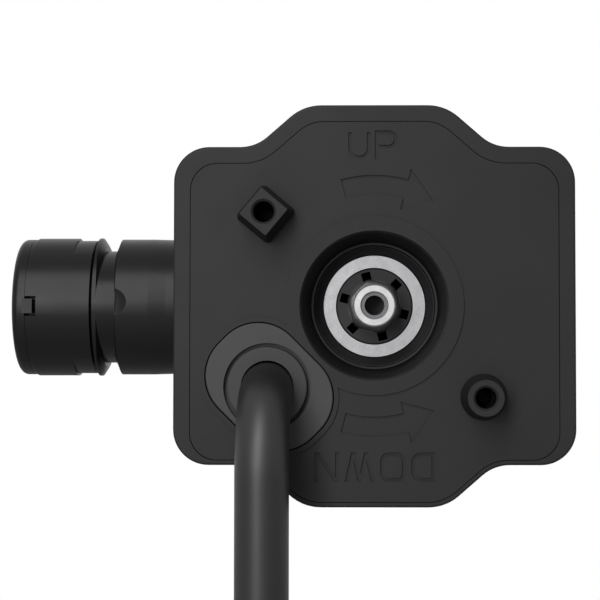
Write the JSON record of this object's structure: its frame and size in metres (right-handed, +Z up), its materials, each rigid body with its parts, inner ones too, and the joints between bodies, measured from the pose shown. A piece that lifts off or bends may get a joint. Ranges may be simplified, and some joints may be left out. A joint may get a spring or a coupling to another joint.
{
  "type": "venetian blind motor",
  "caption": "Blind motor: stepped flat casing with two fixing posts, a slotted drive hub deep in a round bore, a side barrel with a capped end, and a lead that ends in a plug.",
  "frame": {"origin": "middle of the two fixing holes in the front posts, in the plane of the post tops, on the axis of the drive hub", "axes": "+Z up, +X to the right as seen from the front, +Y into the casing; the hub faces -Y and the motor barrel sticks out towards -X"},
  "size_m": [0.1441, 0.0547, 0.2324],
  "materials": {
    "casing_plastic": "fine grained black nylon",
    "cover_plastic": "fine grained black nylon",
    "barrel_plastic": "fine grained black nylon",
    "insert_plastic": "smooth dark grey",
    "hub_plastic": "moulded black acetal",
    "bush_plastic": "smooth black acetal",
    "gear_plastic": "smooth natural acetal",
    "motor_plastic": "moulded nylon",
    "terminal_plastic": "moulded green nylon",
    "chip_plastic": "moulded epoxy",
    "board_laminate": "green solder mask",
    "tie_plastic": "nylon",
    "plug_plastic": "fine grained black nylon",
    "cable_jacket": "smooth black jacket with a soft sheen",
    "wire_cover": "smooth insulation",
    "seal_rubber": "matt black rubber",
    "grommet_rubber": "matt black rubber",
    "ferrite": "ground dark ferrite",
    "carbon": "pressed carbon",
    "motor_steel": "zinc-plated sheet",
    "gear_steel": "sintered steel",
    "core_steel": "stacked sheet",
    "ring_steel": "turned steel",
    "clip_steel": "spring steel",
    "screw_steel": "zinc-plated steel",
    "sleeve_metal": "satin turned",
    "insert_metal": "dull grey",
    "bronze": "sintered bronze",
    "copper_wire": "enamelled copper",
    "pin_brass": "turned brass"
  },
  "bodies": {
    "housing": {"rear_casing": "casing_plastic", "front_cover": "cover_plastic", "cover_seal": "seal_rubber", "casing_screws": "screw_steel", "outlet_insert": "insert_plastic", "cable_grommet": "grommet_rubber", "motor_barrel": "barrel_plastic", "barrel_sleeve": "barrel_plastic", "end_cap": "barrel_plastic", "motor_can": "motor_steel", "motor_end_bell": "motor_plastic", "motor_bearings": "bronze", "motor_magnets": "ferrite", "motor_brushes": "carbon", "motor_damper_rings": "seal_rubber", "sensor_board": "board_laminate", "gearbox_plate": "motor_steel", "ring_gear": "gear_plastic", "gearbox_front_plate": "motor_steel", "carrier_bush": "bronze", "gearbox_screws": "screw_steel", "hub_front_bush": "bush_plastic", "hub_rear_bush": "bush_plastic", "circuit_board": "board_laminate", "board_screws": "screw_steel", "board_parts": "chip_plastic", "terminal_block": "terminal_plastic", "supply_wires": "wire_cover", "motor_leads": "wire_cover", "cable_run": "cable_jacket", "cable_coil": "cable_jacket", "cable_end": "cable_jacket", "cable_tie": "tie_plastic", "plug_gland_nut": "plug_plastic", "line_plug": "plug_plastic", "plug_pins": "pin_brass"},
    "hub": {"output_hub": "hub_plastic", "hub_steel_ring": "ring_steel", "hub_sleeve": "sleeve_metal", "hub_screw_insert": "insert_metal", "crown_wheel": "gear_plastic", "wheel_clip": "clip_steel"},
    "carrier": {"planet_carrier": "motor_steel", "planet_pins": "screw_steel", "drive_pinion": "gear_steel"},
    "armature": {"motor_shaft": "screw_steel", "armature_core": "core_steel", "armature_windings": "copper_wire", "commutator": "copper_wire", "sun_gear": "gear_steel", "encoder_magnet": "ferrite"},
    "planet_1": {"planet_gear_1": "gear_plastic"},
    "planet_2": {"planet_gear_2": "gear_plastic"},
    "planet_3": {"planet_gear_3": "gear_plastic"}
  },
  "joints": [
    {"name": "hub_turn", "type": "hinge", "parent": "housing", "child": "hub", "pos_m": [0, 0.0275, 0], "axis": [0, 1, 0], "continuous": true},
    {"name": "pinion_turn", "type": "hinge", "parent": "housing", "child": "carrier", "pos_m": [-0.02, 0.024, 0], "axis": [1, 0, 0], "continuous": true},
    {"name": "armature_turn", "type": "hinge", "parent": "housing", "child": "armature", "pos_m": [-0.04, 0.024, 0], "axis": [1, 0, 0], "continuous": true},
    {"name": "planet_1_spin", "type": "hinge", "parent": "carrier", "child": "planet_1", "pos_m": [-0.0247, 0.02925, 0], "axis": [1, 0, 0], "continuous": true},
    {"name": "planet_2_spin", "type": "hinge", "parent": "carrier", "child": "planet_2", "pos_m": [-0.0247, 0.02138, 0.00455], "axis": [1, 0, 0], "continuous": true},
    {"name": "planet_3_spin", "type": "hinge", "parent": "carrier", "child": "planet_3", "pos_m": [-0.0247, 0.02138, -0.00455], "axis": [1, 0, 0], "continuous": true}
  ],
  "couplings": [
    {"joint": "pinion_turn", "follows": "hub_turn", "ratio": 5},
    {"joint": "armature_turn", "follows": "hub_turn", "ratio": 25},
    {"joint": "planet_1_spin", "follows": "hub_turn", "ratio": -13.333},
    {"joint": "planet_2_spin", "follows": "hub_turn", "ratio": -13.333},
    {"joint": "planet_3_spin", "follows": "hub_turn", "ratio": -13.333}
  ]
}
